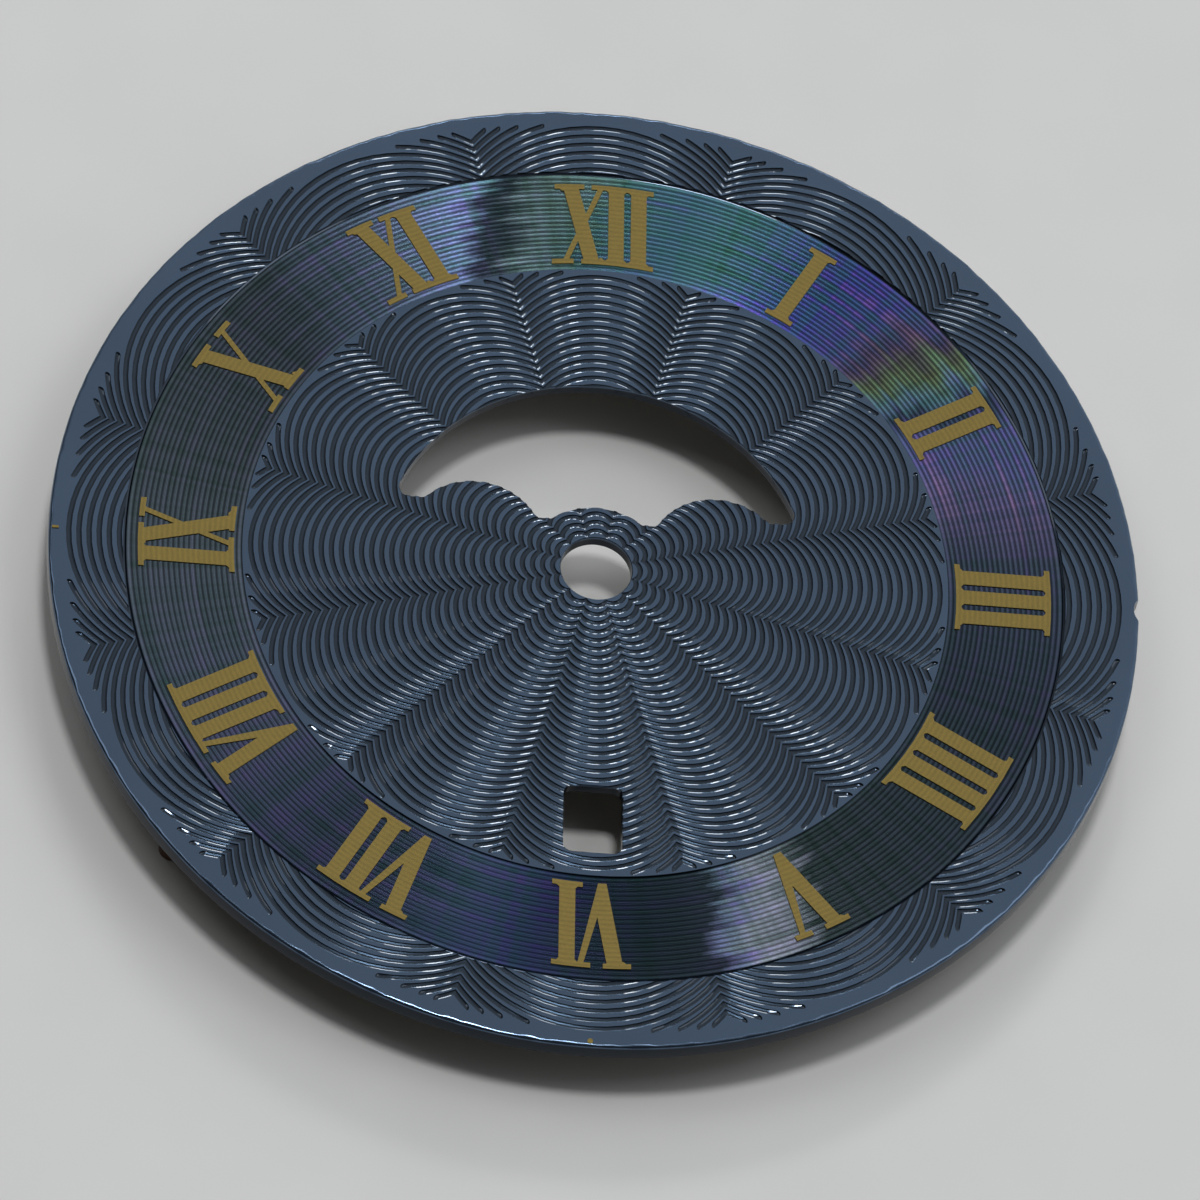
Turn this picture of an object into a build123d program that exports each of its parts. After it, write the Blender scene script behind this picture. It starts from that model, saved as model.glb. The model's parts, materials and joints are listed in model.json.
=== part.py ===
# Watch dial with an engine-turned front, a chapter ring, a moon window and a date window.
# Millimetres. The origin is the centre of the hand hole on the front face, +Z points out of
# the front towards the reader, +Y points to 12 o'clock and +X to 3 o'clock.
from build123d import *
import math
import os

os.makedirs("parts", exist_ok=True)

# Plate
dial_radius = 16.0
rim_thickness = 0.65
web_thickness = 0.40
rim_seat_width = 3.0
front_edge_bevel = 0.09
back_edge_bevel = 0.06
hand_hole_radius = 1.05

# Rim notch at 3 o'clock
notch_width = 0.75
notch_depth = 0.15

# Chapter ring, turned a little into the front face inside the border
border_width = 2.18
ring_width = 3.45
ring_depth = 0.06

# Moon window: a round opening less the boss at the hand hole and one hump on each side.
# The floor lies by the tip drop and the valley drop under the tops of the humps.
moon_radius = 6.3
boss_wall = 1.05
hump_radius = 2.0
hump_y = 0.70
hump_x_share = 0.5635
tip_drop = 0.68
valley_drop = 1.08
tip_fillet = 0.32
floor_fillet = 0.12

# Engine-turned waves: V grooves a pitch apart, with one lobe at each hour. Every wave is a scaled
# copy of the others. A lobe is an arc, cut as chords, and the waves stop short of the ring, the rim
# and the hand hole by the lands. A wave that is cut off keeps at least its least flank.
wave_pitch = 0.2943
wave_width = 0.16
wave_depth = 0.05
wave_crest_gap = 0.25
wave_ring_land = 0.12
wave_rim_land = 0.54
wave_hole_land = 0.03
wave_least_flank = 0.70
wave_chord_error = 0.30
lobe_arc_share = 0.285

# Date window below the hand hole, inside the chapter ring
date_width = 1.72
date_height = 2.22
date_fillet = 0.28
date_gap = 0.78

# Feet, each soldered into a sunk seat in the back of the rim
foot_radius = 0.40
foot_reach = 1.75
foot_tip_bevel = 0.05
foot_inset = 1.0
foot_angle = 217.5
solder_width = 0.32
solder_sink = 0.10
solder_rise = 0.07

# Printed marks
ink_thickness = 0.03
numeral_outer_margin = 0.42
numeral_inner_margin = 0.23
stem_width = 0.465
thin_width = 0.165
serif_height = 0.16
bracket_size = 0.07
stem_overhang = 0.21
thin_overhang = 0.24
inner_overhang = 0.14
stem_gap = 0.205
v_gap = 0.05
x_gap = 0.11
v_width = 1.37
x_width = 1.30
x_shift = 0.09
v_apex_width = 0.18
v_apex_share = 0.47
v_crotch_share = 0.40
x_foot_share = 0.58
x_thin_foot_share = 0.05
lone_v_share = 1.05
lone_x_share = 1.12
rim_tick_length = 0.20
rim_tick_width = 0.08
rim_dot_radius = 0.08

# One overrun for every cut that runs right through
cut_overrun = 0.5

hours = 12
words = ["I", "II", "III", "IIII", "V", "VI", "VII", "VIII", "IX", "X", "XI", "XII"]
back_z = -rim_thickness
ring_floor = -ring_depth
foot_end_z = back_z - foot_reach
seat_z = back_z + solder_sink
relief_radius = dial_radius - rim_seat_width
ring_outer_radius = dial_radius - border_width
ring_inner_radius = ring_outer_radius - ring_width
boss_radius = hand_hole_radius + boss_wall
hump_x = moon_radius * hump_x_share
date_distance = ring_inner_radius - date_gap - date_height / 2
foot_circle_radius = dial_radius - foot_inset
solder_radius = foot_radius + solder_width
numeral_outer_radius = ring_outer_radius - numeral_outer_margin
numeral_inner_radius = ring_inner_radius + numeral_inner_margin
numeral_height = numeral_outer_radius - numeral_inner_radius
flat_rim_radius = dial_radius - front_edge_bevel
inner_wave_start = hand_hole_radius + wave_hole_land
inner_wave_end = ring_inner_radius - wave_ring_land
outer_wave_start = ring_outer_radius + wave_ring_land
outer_wave_end = dial_radius - wave_rim_land
last_inner_crest = ring_inner_radius - wave_crest_gap
lobe_centre_share = 1 - lobe_arc_share
half_hour = math.pi / hours
cusp_turn = half_hour + math.asin(lobe_centre_share * math.sin(half_hour) / lobe_arc_share)
cusp_share = lobe_centre_share * math.cos(half_hour) + lobe_arc_share * math.cos(cusp_turn - half_hour)


def plate_profile():
    """Half section of the plate: the thick rim, the thin web and the sunk chapter ring."""
    web_back = -web_thickness
    with BuildSketch(Plane.XZ) as section:
        with BuildLine():
            Polyline(
                (hand_hole_radius, 0),
                (ring_inner_radius, 0),
                (ring_inner_radius, ring_floor),
                (ring_outer_radius, ring_floor),
                (ring_outer_radius, 0),
                (flat_rim_radius, 0),
                (dial_radius, -front_edge_bevel),
                (dial_radius, back_z + back_edge_bevel),
                (dial_radius - back_edge_bevel, back_z),
                (relief_radius, back_z),
                (relief_radius, web_back),
                (hand_hole_radius, web_back),
                close=True,
            )
        make_face()
    return section.sketch


def moon_window():
    """Outline of the moon window, with its two tips and the valleys beside the boss."""
    hump_top = hump_y + hump_radius
    tip_floor = hump_top - tip_drop
    valley_floor = hump_top - valley_drop
    with BuildSketch() as window:
        Circle(moon_radius)
        with BuildSketch(mode=Mode.INTERSECT):
            Polygon(
                (-moon_radius, tip_floor),
                (-hump_x, tip_floor),
                (-hump_x, valley_floor),
                (hump_x, valley_floor),
                (hump_x, tip_floor),
                (moon_radius, tip_floor),
                (moon_radius, moon_radius),
                (-moon_radius, moon_radius),
                align=None,
            )
        Circle(boss_radius, mode=Mode.SUBTRACT)
        with Locations((-hump_x, hump_y), (hump_x, hump_y)):
            Circle(hump_radius, mode=Mode.SUBTRACT)
        sharp = [corner for corner in window.vertices() if abs(corner.X) < hump_x + hump_radius]
        fillet(sharp, floor_fillet)
        tips = [corner for corner in window.vertices() if abs(corner.X) > hump_x + hump_radius]
        fillet(tips, tip_fillet)
    return window.sketch


def date_window():
    """Outline of the date window, with its rounded corners."""
    return Pos(0, -date_distance) * RectangleRounded(date_width, date_height, date_fillet)


def lobe_point(turn, hour):
    """Point of the lobe at an hour, for a crest radius of 1, at a turn from its crest."""
    point = Vector(lobe_centre_share + lobe_arc_share * math.cos(turn), lobe_arc_share * math.sin(turn))
    return point.rotate(Axis.Z, 360 / hours * hour)


def lobe_path(start, end, crest, hour):
    """Points along one lobe between two turns, as many as the chord error asks for."""
    chord_turn = 2 * math.acos(max(0, 1 - wave_chord_error / (crest * lobe_arc_share)))
    count = math.ceil((end - start) / chord_turn)
    return [lobe_point(start + (end - start) * index / count, hour) for index in range(count + 1)]


def turn_at(radius, crest):
    """Turn from a lobe's crest at which the lobe meets a circle round the dial's centre."""
    squares = lobe_centre_share**2 + lobe_arc_share**2
    return math.acos(((radius / crest) ** 2 - squares) / (2 * lobe_centre_share * lobe_arc_share))


def groove(path, crest, closed=False):
    """Cutter for one groove along a path. Its walls run between scaled copies of the path, so each of
    them is flat, and they rise past the front face by half the groove's depth."""
    rise = wave_depth / 2
    half_width = wave_width / 2 * (wave_depth + rise) / wave_depth
    rows = []
    for radius, height in ((crest - half_width, rise), (crest, -wave_depth), (crest + half_width, rise)):
        rows.append([Vector(point.X * radius, point.Y * radius, height) for point in path])
    faces = []
    for here in range(0 if closed else 1, len(path)):
        for side in range(3):
            near, far = rows[side - 1], rows[side]
            corners = [near[here - 1], near[here], far[here], far[here - 1]]
            faces.append(Face(Wire.make_polygon(corners, close=True)))
    if not closed:
        faces += [Face(Wire.make_polygon([row[end] for row in rows], close=True)) for end in (0, -1)]
    return Solid(Shell(faces))


def wave(crest, start_radius, end_radius):
    """Cutters for one wave between two circles: all of it, its crests, its cusps or only its flanks."""
    has_cusps = crest * cusp_share > start_radius
    inner_turn = cusp_turn if has_cusps else turn_at(start_radius, crest)
    if crest < end_radius:
        lobes = [lobe_path(-inner_turn, inner_turn, crest, hour) for hour in range(hours)]
        if has_cusps:
            return [groove([point for lobe in lobes for point in lobe[:-1]], crest, closed=True)]
        return [groove(lobe, crest) for lobe in lobes]
    outer_turn = turn_at(end_radius, crest)
    cutters = []
    for hour in range(hours):
        falling = lobe_path(outer_turn, inner_turn, crest, hour)
        rising = lobe_path(-inner_turn, -outer_turn, crest, hour + 1)
        paths = [falling[:-1] + rising] if has_cusps else [falling, rising]
        cutters += [groove(path, crest) for path in paths]
    return cutters


def waves(start_radius, end_radius):
    """Cutters for all the waves between two circles, in step with the last one inside the ring."""
    first = math.ceil((start_radius + wave_width - last_inner_crest) / wave_pitch)
    last_crest = (end_radius - wave_least_flank) / cusp_share
    last = math.floor((last_crest - last_inner_crest) / wave_pitch)
    cutters = []
    for number in range(first, last + 1):
        cutters += wave(last_inner_crest + number * wave_pitch, start_radius, end_radius)
    return cutters


def through_cut(outline):
    """A prism on an outline that runs past both faces of the plate."""
    return extrude(outline, amount=rim_thickness / 2 + cut_overrun, both=True).moved(Pos(0, 0, back_z / 2))


def rim_notch():
    """Round cutter whose edge leaves a notch of the named width and depth in the rim."""
    cutter_radius = (notch_width**2 / 4 + notch_depth**2) / (2 * notch_depth)
    return Pos(dial_radius - notch_depth + cutter_radius, 0) * Circle(cutter_radius)


def foot_places():
    """Places of the two feet, across the dial from each other."""
    return [Rot(0, 0, foot_angle + 180 * side) * Pos(foot_circle_radius, 0) for side in range(2)]


def foot_seat():
    """Round sunk seat that takes the solder and the head of one foot."""
    seat = Cylinder(solder_radius, solder_sink + cut_overrun, align=(Align.CENTER, Align.CENTER, Align.MAX))
    return Pos(0, 0, seat_z) * seat


def dial_plate():
    plate = revolve(plate_profile(), Axis.Z)
    cuts = [through_cut(moon_window()), through_cut(date_window()), through_cut(rim_notch())]
    cuts += [place * foot_seat() for place in foot_places()]
    plate -= waves(inner_wave_start, inner_wave_end) + waves(outer_wave_start, outer_wave_end)
    return plate - cuts


def dial_foot():
    """Straight round foot that starts on the floor of its seat and ends in a small bevel."""
    pin = Cylinder(foot_radius, seat_z - foot_end_z, align=(Align.CENTER, Align.CENTER, Align.MAX))
    pin = Pos(0, 0, seat_z) * pin
    return chamfer(pin.edges().sort_by(Axis.Z)[0], foot_tip_bevel)


def solder_collar():
    """Solder that fills the seat round the foot and climbs the foot."""
    section = Plane.XZ * Polygon(
        (foot_radius, back_z - solder_rise),
        (solder_radius, back_z),
        (solder_radius, seat_z),
        (foot_radius, seat_z),
        align=None,
    )
    return revolve(section, Axis.Z)


def band(outer_radius, inner_radius):
    """Flat ring between two circles round the dial's centre."""
    return Circle(outer_radius) - Circle(inner_radius)


def slab(left, right):
    """Upright strip of the numeral band between two sideways places."""
    low = numeral_inner_radius / 2
    return Polygon((left, low), (right, low), (right, dial_radius), (left, dial_radius), align=None)


def top_serif(left, right):
    return slab(left, right) & band(numeral_outer_radius, numeral_outer_radius - serif_height)


def foot_serif(left, right):
    return slab(left, right) & band(numeral_inner_radius + serif_height, numeral_inner_radius)


def height_on(radius, sideways):
    """Height in the numeral's own frame at which a circle round the dial's centre is met."""
    return math.sqrt(radius**2 - sideways**2)


def bracket(sideways, side, at_top):
    """Small slope between a stroke's edge and its serif; side is 1 to the right, -1 to the left."""
    serif_radius = numeral_outer_radius - serif_height if at_top else numeral_inner_radius + serif_height
    inward = -1 if at_top else 1
    root = height_on(serif_radius, sideways)
    depth = bracket_size * inward
    reach = bracket_size * side
    points = [
        (sideways - reach, root - depth),
        (sideways + reach, root - depth),
        (sideways + reach, root),
        (sideways, root + depth),
        (sideways - reach, root + depth),
    ]
    turns_left = side == inward
    return Polygon(*(points if turns_left else points[::-1]), align=None)


def stroke(foot_left, top_left, width):
    """Straight stroke of one width from the numeral's foot to its top."""
    low = numeral_inner_radius - serif_height
    high = numeral_outer_radius
    return Polygon(
        (foot_left, low), (foot_left + width, low), (top_left + width, high), (top_left, high), align=None
    )


def letter_i(left):
    right = left + stem_width
    pieces = [stroke(left, left, stem_width)]
    pieces += [
        top_serif(left - stem_overhang, right + stem_overhang),
        foot_serif(left - stem_overhang, right + stem_overhang),
    ]
    pieces += [bracket(left, -1, at_top) for at_top in (True, False)]
    pieces += [bracket(right, 1, at_top) for at_top in (True, False)]
    return pieces


def letter_v(left, width):
    low = numeral_inner_radius - serif_height
    high = numeral_outer_radius
    apex = left + width * v_apex_share
    apex_left = apex - v_apex_width / 2
    slope = (apex_left - left) / (high - low)
    crotch_height = numeral_inner_radius + numeral_height * v_crotch_share
    crotch = left + stem_width + slope * (high - crotch_height)
    right = left + width
    outline = Polygon(
        (left, high),
        (apex_left, low),
        (apex_left + v_apex_width, low),
        (right, high),
        (right - thin_width, high),
        (crotch, crotch_height),
        (left + stem_width, high),
        align=None,
    )
    return [
        outline,
        top_serif(left - stem_overhang, left + stem_width + inner_overhang),
        top_serif(right - thin_width - thin_overhang, right + inner_overhang),
        bracket(left, -1, True),
    ]


def letter_x(left, width):
    thick_foot = left + width * x_foot_share
    thin_foot = left + width * x_thin_foot_share
    thin_top = left + width - thin_width
    return [
        stroke(thick_foot, left, stem_width),
        stroke(thin_foot - thin_width / 2, thin_top, thin_width),
        top_serif(left - stem_overhang, left + stem_width + stem_overhang),
        top_serif(thin_top - thin_overhang, thin_top + thin_width + thin_overhang),
        foot_serif(thin_foot - thin_width / 2 - thin_overhang, thin_foot + thin_width / 2 + thin_overhang),
        foot_serif(thick_foot - inner_overhang, thick_foot + stem_width + thin_overhang),
        bracket(left, -1, True),
        bracket(thick_foot + stem_width, 1, False),
    ]


def word_layout(word):
    """Letters of a numeral with the left end and width of each, centred on the hour line."""
    v_share = lone_v_share if word == "V" else 1
    x_share = lone_x_share if word == "X" else 1
    widths = {"I": stem_width, "V": v_width * v_share, "X": x_width * x_share}
    gaps = {"II": stem_gap, "VI": v_gap, "IX": x_gap, "XI": x_gap}
    places = []
    cursor = 0
    for index, letter in enumerate(word):
        if index > 0:
            cursor += gaps[word[index - 1:index + 1]]
        places.append((letter, cursor, widths[letter]))
        cursor += widths[letter]
    start = -cursor / 2 + (x_shift if "X" in word else 0)
    return [(letter, start + place, width) for letter, place, width in places]


def numeral(word):
    """One numeral as a film of ink on the chapter ring's floor, drawn at 12 o'clock."""
    pieces = []
    for letter, left, width in word_layout(word):
        if letter == "I":
            pieces += letter_i(left)
        elif letter == "V":
            pieces += letter_v(left, width)
        else:
            pieces += letter_x(left, width)
    outline = pieces[0].fuse(*pieces[1:]).clean() & band(numeral_outer_radius, numeral_inner_radius)
    return extrude(outline, amount=ink_thickness).moved(Pos(0, 0, ring_floor))


def rim_tick():
    """Gold line on the front of the rim at 9 o'clock."""
    centre = Pos(-(flat_rim_radius - rim_tick_length / 2), 0)
    return extrude(centre * Rectangle(rim_tick_length, rim_tick_width), amount=ink_thickness)


def rim_dot():
    """Gold dot on the front of the rim at 6 o'clock."""
    centre = Pos(0, -(flat_rim_radius - rim_dot_radius))
    return extrude(centre * Circle(rim_dot_radius), amount=ink_thickness)


nodes = {"dial_plate": dial_plate(), "rim_tick": rim_tick(), "rim_dot": rim_dot()}
for side, place in zip(["left", "right"], foot_places()):
    nodes["dial_foot_" + side] = place * dial_foot()
    nodes["solder_collar_" + side] = place * solder_collar()
for hour, word in enumerate(words, start=1):
    nodes["numeral_" + str(hour)] = Rot(0, 0, -360 / hours * hour) * numeral(word)

for name, solid in nodes.items():
    export_step(solid, os.path.join("parts", name + ".step"))
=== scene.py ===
import json
import math

import bmesh
import bpy
from bpy.props import FloatProperty, FloatVectorProperty, IntProperty, PointerProperty
from mathutils import Matrix, Vector


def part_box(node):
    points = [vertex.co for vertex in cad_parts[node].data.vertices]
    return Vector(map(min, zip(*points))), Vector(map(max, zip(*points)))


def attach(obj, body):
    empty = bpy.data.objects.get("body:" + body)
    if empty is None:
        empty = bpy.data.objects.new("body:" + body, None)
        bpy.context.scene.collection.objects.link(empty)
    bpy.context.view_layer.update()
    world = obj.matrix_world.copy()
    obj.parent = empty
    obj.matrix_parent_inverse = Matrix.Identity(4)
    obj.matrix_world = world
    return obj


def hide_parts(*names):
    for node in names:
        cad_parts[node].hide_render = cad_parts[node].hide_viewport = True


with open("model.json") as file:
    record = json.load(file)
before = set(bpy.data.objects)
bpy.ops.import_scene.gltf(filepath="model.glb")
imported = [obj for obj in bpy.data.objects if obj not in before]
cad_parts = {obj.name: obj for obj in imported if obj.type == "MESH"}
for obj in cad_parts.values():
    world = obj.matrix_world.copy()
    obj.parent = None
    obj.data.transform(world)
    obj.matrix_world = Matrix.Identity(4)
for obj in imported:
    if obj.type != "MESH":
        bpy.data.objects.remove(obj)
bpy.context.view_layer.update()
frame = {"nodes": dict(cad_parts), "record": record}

bl_info = {
    "name": "Engine-turned watch dial",
    "version": (1, 0, 0),
    "blender": (4, 5, 0),
    "location": "View3D > Sidebar > Watch Dial",
    "description": "Builds the looks of an engine-turned watch dial round its CAD frame",
    "category": "Object",
}

MM = 0.001
plate_low, plate_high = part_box("dial_plate")
numeral_low, numeral_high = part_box("numeral_12")
mounts = {mount["name"]: mount for mount in frame["record"]["mounts"]}
DIAL_RADIUS = plate_high.y
RIM_BACK = plate_low.z
RING_FLOOR = numeral_low.z
FOOT_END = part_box("dial_foot_left")[0].z
HOLE_RADIUS = mounts["hand_hole"]["dims"]["r_mm"] * MM
WEB_BACK = -mounts["hand_hole"]["dims"]["length_mm"] * MM
RIDES_ON = "root"

# Corners nearer than the weld become one, channel seams close within the seam, and faces nearer than
# the last of these lie at one level.
WELD = 0.0001 * MM
SEAM = 0.0005 * MM
NEAR = 0.01 * MM

# Faces that turn less than this are joined, and edges that turn more than the other are shaded sharp.
FLAT_TURN = math.radians(0.05)
SHARP_TURN = math.radians(42)

# Upright parts of the normals of level faces, and of faces that look up or down.
LEVEL = 0.9999
UPWARD = 0.9

# Waves round the rim that together make its rounded edge uneven.
RIM_UNEVENNESS = (37, 61, 89, 127, 173)

# Material slots of the plate.
LACQUER, RING, BACK, CHANNEL = range(4)

# Colour sockets of a Mix node, whose names other sockets of it have too.
MIX_FIRST, MIX_SECOND, MIX_RESULT = 6, 7, 2


def linear(hex_colour):
    """Linear colour, with its alpha, of an sRGB hex value."""
    values = [int(hex_colour[place:place + 2], 16) / 255 for place in (1, 3, 5)]
    return [value / 12.92 if value <= 0.04045 else ((value + 0.055) / 1.055) ** 2.4 for value in values] + [1]


def length(name, description, default):
    """Property for a size in metres."""
    return FloatProperty(name=name, description=description, default=default, unit="LENGTH", precision=6)


def share(name, description, default):
    """Property for a plain number."""
    return FloatProperty(name=name, description=description, default=default)


def whole(name, description, default):
    """Property for a count."""
    return IntProperty(name=name, description=description, default=default, min=1)


def bearing(name, description, degrees):
    """Property for an angle."""
    return FloatProperty(name=name, description=description, default=math.radians(degrees), subtype="ANGLE")


def tint(name, description, hex_colour):
    """Property for a colour, given as its sRGB hex value."""
    return FloatVectorProperty(name=name, description=description, default=linear(hex_colour), size=4, min=0,
                               max=1, subtype="COLOR")


class PlateSizes(bpy.types.PropertyGroup):
    """Sizes of the plate that the frame doesn't give"""

    segments: whole("Segments", "Steps in every circle of the plate", 480)
    edge_break: length("Edge break", "Tiny slope on every cut edge", 0.02 * MM)
    seat_width: length("Seat width", "Width of the thick rim's back face", 3.0 * MM)
    front_round: length("Front rounding", "Mean radius of the rim's rounded front edge", 0.1 * MM)
    back_bevel: length("Back bevel", "Slope on the rim's back edge", 0.06 * MM)
    front_wave: share("Front unevenness", "Share by which the rounded edge's size varies", 0.5)
    round_steps: whole("Rounding steps", "Rows in the rounded edge", 5)
    seat_steps: whole("Seat steps", "Steps round the seat of a foot", 64)
    notch_steps: whole("Notch steps", "Steps round the notch's cutter", 96)
    notch_width: length("Notch width", "Width of the rim notch at 3 o'clock", 0.75 * MM)
    notch_depth: length("Notch depth", "Depth of the rim notch", 0.15 * MM)
    overrun: length("Overrun", "How far cutters pass the faces that they cut", 0.3 * MM)


class WaveSizes(bpy.types.PropertyGroup):
    """Sizes of the engine-turned channels"""

    lobes: whole("Lobes", "Lobes in every wave", 12)
    steps: whole("Steps", "Steps along one lobe of a large wave", 18)
    small_steps: whole("Small steps", "Steps along one lobe of a small wave", 10)
    small_waves: whole("Small waves", "Waves that count as small", 11)
    section_points: whole("Section points", "Corners across a channel", 6)
    cap_steps: whole("Cap steps", "Steps in a channel's rounded end", 3)
    leg_steps: whole("Leg steps", "Steps from a cusp to its channel's end", 9)
    pitch: length("Pitch", "Distance from crest to crest", 0.2943 * MM)
    width: length("Width", "Width of a channel at the face", 0.165 * MM)
    depth: length("Depth", "Depth of a channel", 0.055 * MM)
    lift: length("Lift", "Height to which a channel's cutter rises", 0.015 * MM)
    ring_gap: length("Ring gap", "From the last full wave's crest to the ring", 0.25 * MM)
    ring_land: length("Ring land", "Plain strip inside the ring", 0.105 * MM)
    rim_land: length("Rim land", "Plain strip inside the rim", 0.54 * MM)
    arc_share: share("Arc share", "A lobe's own radius over its crest's radius", 0.285)
    squareness: share("Squareness", "Shape of a channel: 1 is round, near 0 is flat with steep walls", 0.25)
    outer_squareness: share("Outer squareness", "The same outside the ring", 0.24)
    inner_waves: whole("Inner waves", "Full waves inside the ring", 31)
    inner_cusps: whole("Inner cusps", "Cusp rows past the last full wave", 3)
    ring_waves: whole("Ring waves", "Waves that the ring takes the place of", 13)
    outer_waves: whole("Outer waves", "Full waves outside the ring", 6)
    outer_cusps: whole("Outer cusps", "Cusp rows near the rim", 4)


class RingSizes(bpy.types.PropertyGroup):
    """Sizes of the sunk chapter ring and its fine turned lines"""

    border_width: length("Border width", "From the ring to the rim", 2.18 * MM)
    width: length("Ring width", "Width of the chapter ring", 3.45 * MM)
    line_pitch: length("Line pitch", "Distance between turned lines", 0.1536 * MM)
    line_width: length("Line width", "Width of a turned line", 0.05 * MM)
    line_depth: length("Line depth", "Depth of a turned line", 0.012 * MM)
    inner_margin: length("Inner margin", "Plain strip along the inner edge", 0.25 * MM)
    corner_groove: length("Corner groove", "Width of the groove at the foot of the outer wall", 0.09 * MM)
    line_steps: whole("Line steps", "Steps along one hour of a turned line", 16)
    line_points: whole("Line points", "Corners across a turned line", 4)
    lines: whole("Lines", "Turned lines in the ring", 20)
    brightness: share("Brightness", "Gain on the ring's colours", 1.4)
    slant: share("Slant", "Turns by which the colours shift along each metre of radius", -4.0)
    patch_shift: share("Patch shift", "Turns by which patches of colour stray round the ring", 0.02)
    line_shift: share("Line shift", "Turns by which single lines stray from their neighbours", 0.025)
    hue_shift: share("Hue shift", "How far the hue strays along and across the lines", 0.18)
    saturation: share("Saturation", "Strength of the ring's colours", 0.9)


class FinishColours(bpy.types.PropertyGroup):
    """Colours of the finishes"""

    land: tint("Land", "Blue lacquer on the flat lands", "#586A80")
    # The wall and channel colours are painted shade: darker than the land, as the channels lie in shade.
    wall: tint("Wall", "Lacquer on the channels' steep walls", "#1D2A37")
    channel: tint("Channel", "Lacquer on the channels' floors", "#2C3A49")
    brass: tint("Brass", "Bare brass back, dulled with age", "#5F5638")
    gold: tint("Gold", "Gold print", "#7F6C2C")
    copper: tint("Copper", "Dulled copper feet", "#6E5040")
    solder: tint("Solder", "Dulled tin solder", "#63665E")
    floor: tint("Floor", "Paper under the dial", "#EDEDEC")
    room: tint("Room", "Pale walls of the room", "#F2F5F8")


class StageSizes(bpy.types.PropertyGroup):
    """Camera, floor and light"""

    sensor_width: share("Sensor width", "Width of the camera's sensor in millimetres", 36.0)
    focal_share: share("Focal share", "Focal length over the sensor's width", 12001 / 1200)
    tilt: bearing("Tilt", "Turn about the picture's level axis", -31.35)
    lean: bearing("Lean", "Turn about the picture's upright axis", 8.53)
    roll: bearing("Roll", "Turn of the dial in its own plane", -5.1)
    distance: length("Distance", "From the camera to the dial", 349.4 * MM)
    shift_right: length("Shift right", "Place of the dial right of the picture's middle", -0.105 * MM)
    shift_up: length("Shift up", "Place of the dial above the picture's middle", 0.924 * MM)
    floor_size: length("Floor size", "Side of the paper floor", 1.2)
    lamp_distance: length("Lamp distance", "From the dial to the strip lamps", 1.0)
    lamp_radiance: share("Lamp radiance", "Brightness of a full strip lamp over white", 48.0)
    softbox_size: length("Softbox size", "Width of the overhead softbox", 0.15)
    side_size: length("Side softbox size", "Width of the side softboxes", 0.45)
    softbox_radiance: share("Overhead radiance", "Brightness of the overhead softbox over white", 36.0)
    side_radiance: share("Side radiance", "Brightness of the side softboxes over white", 1.3)
    room_light: share("Room light", "Brightness of the dark side of the room", 0.045)
    window_light: share("Window light", "Brightness that the room gains towards its bright side", 0.7)
    least_tilt: bearing("Least tilt", "Least tilt of a wall that shows a lamp", 9)
    most_tilt: bearing("Most tilt", "Most tilt of a wall that shows a lamp", 12.5)


def feed(tree, node, inputs):
    """Feeds a node's inputs by order or by name, with values, sockets or the first outputs of nodes."""
    for key, value in inputs.items() if isinstance(inputs, dict) else enumerate(inputs):
        if isinstance(value, bpy.types.Node):
            value = value.outputs[0]
        if isinstance(value, bpy.types.NodeSocket):
            tree.links.new(value, node.inputs[key])
        else:
            node.inputs[key].default_value = value


def add(tree, kind, inputs=(), operation=None, **settings):
    """Adds a node with its settings and feeds it. A kind that doesn't say Node is a shader node."""
    node = tree.nodes.new(kind if "Node" in kind else "ShaderNode" + kind)
    if operation:
        node.operation = operation
    for name, value in settings.items():
        setattr(node, name, value)
    feed(tree, node, inputs)
    return node


def ring_radii():
    """Inner and outer radius of the chapter ring."""
    ring = bpy.context.scene.dial_ring
    outer = DIAL_RADIUS - ring.border_width
    return outer - ring.width, outer


def place_piece(name, mesh, slot, *nodes):
    """Turns a finished mesh into a piece that stands for CAD nodes."""
    piece = bpy.data.objects.new(name, mesh)
    bpy.context.collection.objects.link(piece)
    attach(piece, RIDES_ON)
    if nodes:
        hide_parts(*nodes)
    return piece


def lathe(profile, segments):
    """Closed mesh of revolution about Z. The profile gives (radius, height) at a step of the circle."""
    mesh = bmesh.new()
    rows = []
    for step in range(segments):
        turn = 2 * math.pi * step / segments
        rows.append([mesh.verts.new((r * math.cos(turn), r * math.sin(turn), z)) for r, z in profile(turn)])
    for step in range(segments):
        here, there = rows[step - 1], rows[step]
        for point in range(len(here)):
            mesh.faces.new((here[point - 1], there[point - 1], there[point], here[point]))
    bmesh.ops.recalc_face_normals(mesh, faces=mesh.faces)
    return mesh


def prism(levels):
    """Closed mesh through outlines of as many points, one above the other."""
    mesh = bmesh.new()
    rows = [[mesh.verts.new(point) for point in level] for level in levels]
    for low, high in zip(rows, rows[1:]):
        for point in range(len(low)):
            mesh.faces.new((low[point - 1], low[point], high[point], high[point - 1]))
    mesh.faces.new(rows[0])
    mesh.faces.new(rows[-1])
    bmesh.ops.recalc_face_normals(mesh, faces=mesh.faces)
    return mesh


def into_mesh(name, mesh, *materials):
    """Turns a bmesh into a mesh with its materials."""
    made = bpy.data.meshes.new(name)
    mesh.to_mesh(made)
    mesh.free()
    for material in materials:
        made.materials.append(material)
    return made


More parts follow.
